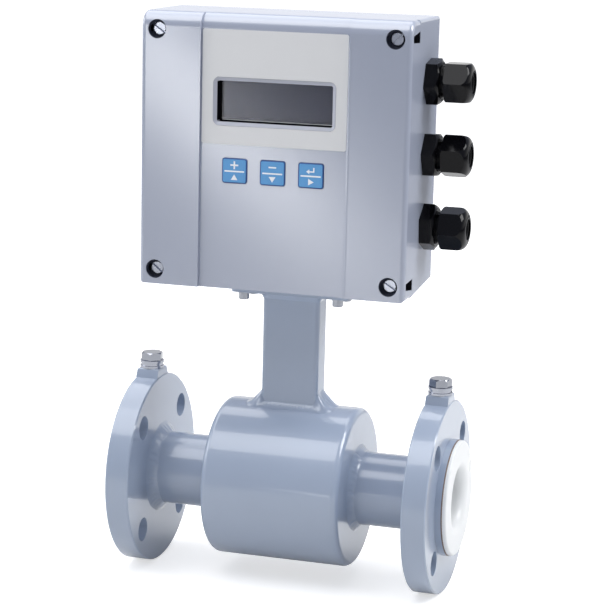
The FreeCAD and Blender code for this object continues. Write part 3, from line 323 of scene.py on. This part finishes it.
BOX_BLUE = srgb(160, 167, 185)
BODY_BLUE = srgb(157, 170, 191)
M = {
    "box": surface("satin_enamel", BOX_BLUE, 0.20, mottle=0.008, mottle_scale=14,
                   bumps=((160, 0.006), (1500, 0.0015)), rough_vary=0.02, ior=2.0),
    "body": surface("gloss_blue_grey_enamel", BODY_BLUE, 0.32, coat=1.0, coat_roughness=0.09, mottle=0.02,
                    mottle_scale=18, bumps=((38, 0.04), (140, 0.008)), rough_vary=0.03),
    "weld": surface("painted_weld", BODY_BLUE, 0.30, coat=1.0, coat_roughness=0.09, mottle=0.03,
                    mottle_scale=40, bumps=((220, 0.05),), rough_vary=0.03),
    "liner": surface("white_fluoropolymer", srgb(238, 240, 241), 0.30, mottle=0.008, mottle_scale=40,
                     bumps=((70, 0.02),), rough_vary=0.05),
    "adhesive": surface("brown_adhesive", srgb(120, 104, 94), 0.6, mottle=0.25, mottle_scale=220,
                        bumps=((700, 0.05),), rough_vary=0.1),
    "black": surface("gloss_black_polyamide", srgb(8, 8, 11), 0.09, mottle=0.1, mottle_scale=60,
                     bumps=((420, 0.003), (60, 0.015)), rough_vary=0.03, specular=0.18),
    "rubber": surface("black_rubber", srgb(20, 20, 22), 0.6, mottle=0.12, mottle_scale=120,
                      bumps=((900, 0.02),), rough_vary=0.08),
    "zinc": surface("bright_zinc", srgb(170, 173, 180), 0.28, metallic=1.0, mottle=0.06, mottle_scale=160,
                    bumps=((700, 0.006),), rough_vary=0.06),
    "screw": surface("captive_screw", srgb(186, 190, 200), 0.28, metallic=1.0, mottle=0.05, mottle_scale=200,
                     bumps=((300, 0.006),), rough_vary=0.04),
    # bolt: the bright plated steel painted darker, a painted dark reflection on the earth bolts' heads
    "bolt": surface("plated_bolt_painted_dark", srgb(152, 155, 163), 0.12, metallic=1.0, mottle=0.05,
                    mottle_scale=200, bumps=((300, 0.006),), rough_vary=0.04),
    "chrome": surface("bright_plated_steel", srgb(170, 173, 182), 0.20, metallic=1.0, mottle=0.04,
                      mottle_scale=200, bumps=((300, 0.006),), rough_vary=0.04),
    "steel": surface("stainless_steel", srgb(190, 190, 194), 0.25, metallic=1.0, mottle=0.05,
                     mottle_scale=90, bumps=((600, 0.006),), rough_vary=0.05),
    "label": surface("grey_overlay", srgb(222, 223, 225), 0.55, mottle=0.005, mottle_scale=50,
                     bumps=((2200, 0.003),), rough_vary=0.03, specular=0.3),
    "bezel": surface("lilac_bezel", srgb(178, 181, 194), 0.34, mottle=0.01,
                     mottle_scale=40, bumps=((900, 0.004),), rough_vary=0.03),
    "lcd": surface("display_grey", srgb(36, 39, 54), 0.3, mottle=0.03, mottle_scale=20,
                   bumps=((1500, 0.002),), rough_vary=0.03),
    "board": surface("solder_mask", srgb(20, 84, 44), 0.35, mottle=0.2, mottle_scale=160,
                     bumps=((400, 0.03),), rough_vary=0.08),
    "key": surface("navy_key_edge", srgb(38, 84, 150), 0.35, mottle=0.03, mottle_scale=80,
                   bumps=((900, 0.004),), rough_vary=0.04),
    "key_face": surface("light_blue_key_face", srgb(90, 156, 212), 0.38, mottle=0.015, mottle_scale=90,
                        bumps=((700, 0.004),), rough_vary=0.03),
    "legend": surface("white_print", srgb(240, 243, 246), 0.45, mottle=0.01, mottle_scale=200,
                      bumps=((1500, 0.002),), rough_vary=0.03),
    "copper": surface("varnished_copper", srgb(176, 92, 50), 0.3, metallic=1.0, coat=0.5, mottle=0.1,
                      mottle_scale=60, bumps=((500, 0.05),), rough_vary=0.08),
    "iron": surface("core_iron", srgb(82, 82, 86), 0.5, metallic=0.8, mottle=0.1, mottle_scale=80,
                    bumps=((300, 0.03),), rough_vary=0.1),
    "plastic": surface("natural_plastic", srgb(225, 219, 200), 0.4, mottle=0.03, mottle_scale=80,
                       bumps=((600, 0.01),), rough_vary=0.05),
    "brass": surface("turned_brass", srgb(200, 165, 92), 0.25, metallic=1.0, mottle=0.05, mottle_scale=90,
                     bumps=((500, 0.01),), rough_vary=0.06),
    "dark": surface("moulded_black", srgb(30, 30, 33), 0.5, mottle=0.1, mottle_scale=90,
                    bumps=((600, 0.02),), rough_vary=0.08),
    "green": surface("terminal_green", srgb(70, 140, 80), 0.4, mottle=0.05, mottle_scale=90,
                     bumps=((600, 0.01),), rough_vary=0.05),
    # pocket: matt black that paints shade; it stands for the shadow deep in the cover's side pockets and in
    # the display's opening
    "pocket": surface("painted_shade_black", srgb(14, 14, 19), 0.8, mottle=0.1, mottle_scale=90,
                      bumps=((600, 0.02),), rough_vary=0.05, specular=0.05),
    # well: dark grey that paints the shade in the counterbores round the captive screws
    "well": surface("painted_shade_collar", srgb(52, 56, 70), 0.55, mottle=0.1, mottle_scale=90,
                    bumps=((600, 0.02),), rough_vary=0.05, specular=0.2),
    "glass": surface("clear_window", srgb(226, 229, 244), 0.2, transmission=1.0, mottle=0.005,
                     bumps=((20, 0.003),), ior=1.38),
}

SLOT_LOOK = {
    "painted_steel": "body", "painted_aluminium": "box", "liner_white": "liner", "copper_winding": "copper",
    "core_iron": "iron", "stainless": "steel", "bush_plastic": "plastic", "zinc_steel": "zinc",
    "gasket_rubber": "rubber", "label_grey": "label", "bezel_grey": "bezel", "window_glass": "glass",
    "lcd_dark": "lcd", "board_green": "board", "key_blue": "key", "electronics_black": "dark",
    "terminal_green": "green", "standoff_brass": "brass", "gland_black": "black"}
NODE_LOOK = {"earth_bolts": "bolt", "earth_washers": "chrome", "cover_screws": "screw"}


def dress_nodes():
    """Gives each CAD node the look of its material slot, or one of its own."""
    slots = {s["node"]: s["material_slot"] for s in frame["record"]["subparts"]}
    for name, node in NODES.items():
        usual = "weld" if "weld" in name else SLOT_LOOK[slots[name]]
        look = M[NODE_LOOK.get(name, usual)]
        if not node.material_slots:
            node.data.materials.append(look)
        for s in node.material_slots:
            s.material = look


# ------------------------------------------------------------------ mesh helpers
BEVEL_FROM = math.radians(50)       # edges sharper than this are bevelled
# signs of each corner, and the angle in degrees where its arc starts
CORNERS = ((1, 1, 0), (-1, 1, 90), (-1, -1, 180), (1, -1, 270))


def add_piece(name, b, look, body, bevel=0.0, smooth=40.0):
    """Mesh object from a bmesh, with an optional small bevel, riding on a CAD body."""
    bmesh.ops.recalc_face_normals(b, faces=b.faces[:])
    mesh = bpy.data.meshes.new(name)
    b.to_mesh(mesh)
    b.free()
    mesh.materials.append(M[look])
    mesh.shade_smooth()
    mesh.set_sharp_from_angle(angle=math.radians(smooth))
    piece = bpy.data.objects.new(name, mesh)
    bpy.context.scene.collection.objects.link(piece)
    if bevel:
        mod = piece.modifiers.new("edge", "BEVEL")
        mod.width = bevel
        mod.segments = 2
        mod.limit_method = "ANGLE"
        mod.angle_limit = BEVEL_FROM
    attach(piece, body)
    return piece


def turned(profile, segments, place=None, closed=False):
    """bmesh of an (x, r) profile turned about the X axis; closed joins its last point to its first.

    place(k, x, r, angle), where it is given, moves point k of the profile to another (x, r) at that angle.
    """
    b = bmesh.new()
    rings = []
    for i in range(segments):
        a = 2 * math.pi * i / segments
        ring = []
        for k, (x, r) in enumerate(profile):
            px, pr = place(k, x, r, a) if place else (x, r)
            ring.append(b.verts.new((px, pr * math.cos(a), pr * math.sin(a))))
        rings.append(ring)
    count = len(profile)
    for i in range(segments):
        p, q = rings[i], rings[(i + 1) % segments]
        for k in range(count if closed else count - 1):
            n = (k + 1) % count
            b.faces.new((p[k], p[n], q[n], q[k]))
    return b


def join(b, near, far, open_near=False):
    """Adds the solid between two outlines of as many points; open_near leaves out the first one's face."""
    near, far = [b.verts.new(p) for p in near], [b.verts.new(p) for p in far]
    if open_near:
        b.faces.new(far)
    else:
        b.faces.new(near)
        b.faces.new(far[::-1])
    for i in range(len(near)):
        k = (i + 1) % len(near)
        b.faces.new((near[i], far[i], far[k], near[k]))


def prism(b, outline, y0, y1):
    """Adds a flat shape, outline in X and Z, thick from y0 to y1, to the bmesh."""
    join(b, [(x, y0, z) for x, z in outline], [(x, y1, z) for x, z in outline])


def rounded(w, h, r, cx, cz, steps=6):
    """Outline of a w by h rectangle round (cx, cz), with corners of radius r."""
    points = []
    for sx, sz, start in CORNERS:
        for i in range(steps + 1):
            a = math.radians(start + 90 * i / steps)
            points.append((cx + sx * (w / 2 - r) + r * math.cos(a), cz + sz * (h / 2 - r) + r * math.sin(a)))
    return points


def front_of(node):
    """Lowest and highest x and z of a node's foremost face, and its y."""
    verts = [v.co for v in NODES[node].data.vertices]
    y = min(v.y for v in verts)
    face = [v for v in verts if v.y < y + 0.05 * MM]
    xs, zs = [v.x for v in face], [v.z for v in face]
    return min(xs), max(xs), min(zs), max(zs), y


# ------------------------------------------------------------------ welds
BEAD_STEPS = 14
BEAD_SEGMENTS = 420
BEAD_SINK = 0.3 * MM                # how far the edge of a bead lies inside the metal
BEAD_CROWN, CROWN_REACH = 0.22, 0.85
WAVES = 9
FIRST_SEED, FOOT_SEED = 3, 21
NECK_CORNER = 3.0 * MM
FOOT_POINTS = 320
FOOT_ROUGH = 0.6
FOOT_SINK = 0.1 * MM
FOOT_FRONT, FOOT_SIDE = 0.5, 0.8    # its size at the front and rear, and what its sides add to that


def wobble(rng, lowest, highest):
    """Smooth periodic noise of an angle: a sum of sines with seeded phases."""
    waves = [(rng.randint(lowest, highest), rng.uniform(0, 2 * math.pi), rng.uniform(0.5, 1.0))
             for _ in range(WAVES)]
    return lambda a: sum(w * math.sin(f * a + p) for f, p, w in waves) / 3.0


def bead_section():
    """Unit fillet from the base (1, 0) to the wall (0, 1), with a little crown: (out, up) pairs."""
    points = []
    for k in range(BEAD_STEPS + 1):
        a = math.pi / 2 * k / BEAD_STEPS
        crown = BEAD_CROWN * math.sin(2 * a)
        points.append(((1 - math.sin(a)) * (1 - crown) + crown * CROWN_REACH,
                       (1 - math.cos(a)) * (1 - crown) + crown * CROWN_REACH))
    return points


def bead_growth(rng, rough=1.0):
    """Size of a hand-laid bead along its run and across its section."""
    toe, lumps, swell = wobble(rng, 6, 16), wobble(rng, 26, 54), wobble(rng, 2, 6)

    def growth(angle, across):
        mid = math.sin(math.pi * across)
        shift = angle + 0.05 * math.sin(math.pi * across)
        return 1 + rough * (0.05 * toe(angle) + 0.05 * lumps(shift) * mid + 0.07 * swell(angle))
    return growth


def add_pipe_beads():
    """Welds round the tube, at the flanges and the end plates."""
    pipe_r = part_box("measuring_tube")[1].z
    section = bead_section()
    for seed, (node, side) in enumerate((("inlet_flange_weld", 1), ("outlet_flange_weld", -1),
                                         ("inlet_shell_weld", -1), ("outlet_shell_weld", 1))):
        low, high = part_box(node)
        leg = high.x - low.x
        wall = low.x if side > 0 else high.x
        growth = bead_growth(random.Random(FIRST_SEED + seed))

        def place(k, out, up, angle, leg=leg, wall=wall, side=side, growth=growth):
            size = leg * growth(angle, k / BEAD_STEPS)
            return wall + side * out * size, pipe_r - BEAD_SINK + up * size

        bead = turned(section, BEAD_SEGMENTS, place)
        piece = add_piece(node + "_bead", bead, "weld", BODY, smooth=80)
        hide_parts(node)


def rounded_path(w, h, r, count, corner_steps=24):
    """Evenly spaced points and outward directions round a rounded rectangle centred on the origin."""
    dense = []
    for sx, sy, start in CORNERS:
        for i in range(corner_steps + 1):
            a = math.radians(start + 90 * i / corner_steps)
            n = Vector((math.cos(a), math.sin(a)))
            dense.append((Vector((sx * (w / 2 - r), sy * (h / 2 - r))) + n * r, n))
    dense.append(dense[0])
    steps = [(q[0] - p[0]).length for p, q in zip(dense, dense[1:])]
    total, path = sum(steps), []
    k, done = 0, 0.0
    for i in range(count):
        want = total * i / count
        while done + steps[k] < want:
            done += steps[k]
            k += 1
        f = (want - done) / steps[k] if steps[k] else 0.0
        (p, n), (q, m) = dense[k], dense[k + 1]
        path.append((p.lerp(q, f), n.lerp(m, f).normalized()))
    return path


def add_foot_bead():
    """Weld where the neck stands on the coil housing; it follows the cylinder."""
    neck_low, neck_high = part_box("neck_tube")
    weld_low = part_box("neck_foot_weld")[0]
    shell_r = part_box("coil_housing_shell")[1].z
    leg = neck_low.x - weld_low.x
    growth = bead_growth(random.Random(FOOT_SEED), FOOT_ROUGH)
    path = rounded_path(neck_high.x - neck_low.x, neck_high.y - neck_low.y, NECK_CORNER, FOOT_POINTS)
    b = bmesh.new()
    rings = []
    for i, (p, n) in enumerate(path):
        angle = 2 * math.pi * i / len(path)
        ring = []
        for k, (out, up) in enumerate(bead_section()):
            size = leg * (FOOT_FRONT + FOOT_SIDE * n.x ** 2) * growth(angle, k / BEAD_STEPS)
            q = p + n * (out * size - BEAD_SINK)
            z = math.sqrt(shell_r ** 2 - q.y ** 2) - FOOT_SINK + up * size
            ring.append(b.verts.new((q.x, q.y, z)))
        rings.append(ring)
    for r, t in zip(rings, rings[1:] + rings[:1]):
        for k in range(BEAD_STEPS):
            b.faces.new((r[k], r[k + 1], t[k + 1], t[k]))
    piece = add_piece("neck_foot_bead", b, "weld", BODY, smooth=80)
    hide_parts("neck_foot_weld")


# ------------------------------------------------------------------ front panel
KEY_MARGIN = 0.35 * MM              # darker edge that a key's face leaves free
FACE_CORNER = 1.0 * MM
FACE_THICK, FACE_SINK = 0.12 * MM, 0.02 * MM
PRINT_THICK = 0.06 * MM
BAR_THICK = 0.95


def add_keys():
    """Light face of each key, and its printed signs: outlines in mm from the middle of the key."""
    for node in ("key_plus", "key_minus", "key_enter"):
        x0, x1, z0, z1, y = front_of(node)
        cx, cz = (x0 + x1) / 2, (z0 + z1) / 2
        face_y = y - FACE_THICK
        outline = rounded(x1 - x0 - 2 * KEY_MARGIN, z1 - z0 - 2 * KEY_MARGIN, FACE_CORNER, cx, cz)
        b = bmesh.new()
        prism(b, outline, face_y, y + FACE_SINK)
        add_piece(node + "_face", b, "key_face", node, bevel=0.05 * MM)
        b = bmesh.new()
        print_y = face_y - PRINT_THICK

        def bar(w, up):
            prism(b, rounded(w * MM, BAR_THICK * MM, 0.2 * MM, cx, cz + up * MM, 3), print_y, face_y)

        def shape(points):
            prism(b, [(cx + x * MM, cz + z * MM) for x, z in points], print_y, face_y)

        bar(13.0, -0.3)
        if node == "key_plus":
            shape(((-2.6, 3.1), (-0.5, 3.1), (-0.5, 1.1), (0.5, 1.1), (0.5, 3.1), (2.6, 3.1),
                   (2.6, 4.1), (0.5, 4.1), (0.5, 6.1), (-0.5, 6.1), (-0.5, 4.1), (-2.6, 4.1)))
            shape(((-2.2, -5.7), (2.2, -5.7), (0, -2.2)))
        elif node == "key_minus":
            bar(5.0, 3.6)
            shape(((-2.2, -2.3), (2.2, -2.3), (0, -5.8)))
        else:
            shape(((-2.9, 2.5), (-0.9, 1.0), (-0.9, 2.1), (2.4, 2.1), (2.4, 5.1), (1.55, 5.1),
                   (1.55, 2.9), (-0.9, 2.9), (-0.9, 4.0)))
            shape(((-1.5, -6.0), (-1.5, -1.9), (2.1, -3.95)))
        add_piece(node + "_legend", b, "legend", node)


def add_window_shade_and_highlight():
    """Black sheets of painted shade on the walls of the display's opening and in bands along the glass's
    left and lower sides, with a white strip of painted highlight along the glass's lower edge.
    """
    low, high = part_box("display_window")
    rebate, fit = 1.0 * MM, 0.1 * MM
    grow = rebate - fit
    x0, x1, z0, z1 = low.x + grow, high.x - grow, low.z + grow, high.z - grow
    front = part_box("display_bezel")[0].y + 1.3 * MM
    y = low.y - 0.02 * MM
    skin = 0.12 * MM
    left_band, bottom_band, glass_edge = 1.7 * MM, 0.75 * MM, 0.4 * MM
    b = bmesh.new()

    def strip(ax, bx, az, bz, ya, yb):
        prism(b, [(ax, az), (bx, az), (bx, bz), (ax, bz)], ya, yb)

    strip(x0, x0 + skin, z0, z1, front, y)
    strip(x1 - skin, x1, z0, z1, front, y)
    strip(x0 + skin, x1 - skin, z0, z0 + skin, front, y)
    # bands of painted shade lying on the glass along its left and lower sides
    strip(x0 + skin, x0 + left_band, z0 + skin, z1 - skin, y - skin, y)
    strip(x0 + left_band, x1 - skin, z0 + skin, z0 + bottom_band, y - skin, y)
    add_piece("display_painted_shade", b, "pocket", BODY, bevel=0.03 * MM)
    b = bmesh.new()
    # white strip of painted highlight along the lower edge of the glass, in the legends' white
    strip(x0 + 2.0 * MM, x1 - 0.4 * MM, z0 + bottom_band, z0 + bottom_band + glass_edge, y - skin, y)
    add_piece("display_glass_painted_highlight", b, "legend", BODY, bevel=0.05 * MM)


# ------------------------------------------------------------------ box details
def add_pocket_shade_sheets():
    """Black sheets of painted shade in the tapered pockets in the cover's sides, where there is only shade.
    """
    low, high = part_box("housing_cover")
    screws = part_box("cover_screws")
    head_r = 4.2 * MM
    z_top, z_bottom = screws[1].z - head_r, screws[0].z + head_r
    y0, y1 = low.y + 3.75 * MM, high.y - 0.05 * MM
    half, slant_out, slant_in = 2.05 * MM, 2.4 * MM, 0.8 * MM
    mouth, deep = high.x - 0.3 * MM, high.x - 5.9 * MM
    for sx, side in ((-1, "left"), (1, "right")):
        for sign, z, level in ((1, z_top, "top"), (-1, z_bottom, "bottom")):
            # each sheet lines a pocket with painted shade
            outline = [(y0, z - sign * half), (y0, z + sign * half),
                       (y1, z + sign * (half + slant_out)), (y1, z - sign * (half + slant_in))]
            b = bmesh.new()
            join(b, [(sx * mouth, y, zz) for y, zz in outline], [(sx * deep, y, zz) for y, zz in outline],
                 open_near=True)
            piece = add_piece("pocket_painted_shade_%s_%s" % (side, level), b, "pocket", BODY)
            thick = piece.modifiers.new("wall", "SOLIDIFY")
            thick.thickness, thick.offset = 0.3 * MM, -1.0


def add_screw_wells():
    """Dark grey collars of painted shade that line the four counterbores round the captive screws."""
    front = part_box("housing_cover")[0].y
    verts = [v.co for v in NODES["cover_screws"].data.vertices]
    middle = sum(v.z for v in verts) / len(verts)
    outer, mouth, waist, inner = 5.93 * MM, 5.75 * MM, 5.35 * MM, 4.4 * MM
    for sx, sz, name in ((-1, 1, "a"), (1, 1, "b"), (-1, -1, "c"), (1, -1, "d")):
        mine = [v for v in verts if v.x * sx > 0 and (v.z - middle) * sz > 0]
        face = min(v.y for v in mine)
        cx = (min(v.x for v in mine) + max(v.x for v in mine)) / 2
        cz = (min(v.z for v in mine) + max(v.z for v in mine)) / 2
        start, end = front + 0.5 * MM, face + 2.6 * MM
        profile = [(start, outer), (start, mouth), (face + 0.2 * MM, waist),
                   (face + 0.9 * MM, inner), (end, inner), (end, outer)]
        b = turned(profile, 64, closed=True)
        bmesh.ops.rotate(b, verts=b.verts[:], cent=(0, 0, 0), matrix=Matrix.Rotation(math.pi / 2, 3, "Z"))
        bmesh.ops.translate(b, verts=b.verts[:], vec=(cx, 0, cz))
        add_piece("screw_well_painted_shade_" + name, b, "well", BODY, smooth=35)


def add_panel_edge():
    """Soft rim along the right edge of the cover's recessed panel."""
    low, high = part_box("housing_cover")
    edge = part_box("front_label")[1].x + 0.75 * MM
    width, proud, sink, steps = 1.8 * MM, 0.06 * MM, 0.2 * MM, 8
    z0, z1 = low.z + 1.0 * MM, high.z - 15.0 * MM
    top = [(edge + width * k / steps, low.y - proud * math.sin(math.pi * k / steps))
           for k in range(steps + 1)]
    outline = top + [(edge + width, low.y + sink), (edge, low.y + sink)]
    b = bmesh.new()
    join(b, [(x, y, z0) for x, y in outline], [(x, y, z1) for x, y in outline])
    add_piece("panel_edge", b, "box", BODY, smooth=50)


def add_gland_threads():
    """Thread ridges that show between a gland's body and its nut."""
    root, crest, pitch = 10.0 * MM, 10.55 * MM, 1.25 * MM
    sunk = root - 0.1 * MM
    for level in ("lower", "middle", "upper"):
        nut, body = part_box("gland_nut_" + level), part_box("gland_body_" + level)
        centre_y, centre_z = (nut[0].y + nut[1].y) / 2, (body[0].z + body[1].z) / 2
        x1 = nut[0].x - 0.15 * MM
        x0 = x1 - 2.5 * MM
        profile = [(x0, sunk)]
        for i in range(int((x1 - x0) / pitch)):
            x = x0 + i * pitch
            profile += [(x + 0.1 * pitch, root), (x + 0.45 * pitch, crest),
                        (x + 0.6 * pitch, crest), (x + 0.95 * pitch, root)]
        profile.append((x1, sunk))
        b = turned(profile, 72)
        bmesh.ops.translate(b, verts=b.verts[:], vec=(0, centre_y, centre_z))
        add_piece("gland_thread_" + level, b, "black", BODY, smooth=30)


def add_liner_joints():
    """Thin line of brown sealant between each raised face and the liner's flare."""
    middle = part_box("outlet_flange")[1].x + 0.1 * MM
    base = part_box("pipe_liner")[1].z - 0.12 * MM
    half_width, height, steps = 0.75 * MM, 0.42 * MM, 8
    for name, sign in (("inlet", -1), ("outlet", 1)):
        profile = []
        for k in range(steps + 1):
            a = math.pi * k / steps
            profile.append((sign * (middle + half_width * math.cos(a)), base + height * math.sin(a)))
        add_piece(name + "_liner_joint", turned(profile, 160), "adhesive", BODY)


add_camera()
add_world()
add_floor()
for lamp in LIGHTS:
    add_light(*lamp)
dress_nodes()
add_pipe_beads()
add_foot_bead()
add_keys()
add_window_shade_and_highlight()
add_pocket_shade_sheets()
add_screw_wells()
add_panel_edge()
add_gland_threads()
add_liner_joints()

scene = bpy.context.scene
scene.view_settings.view_transform = "Standard"
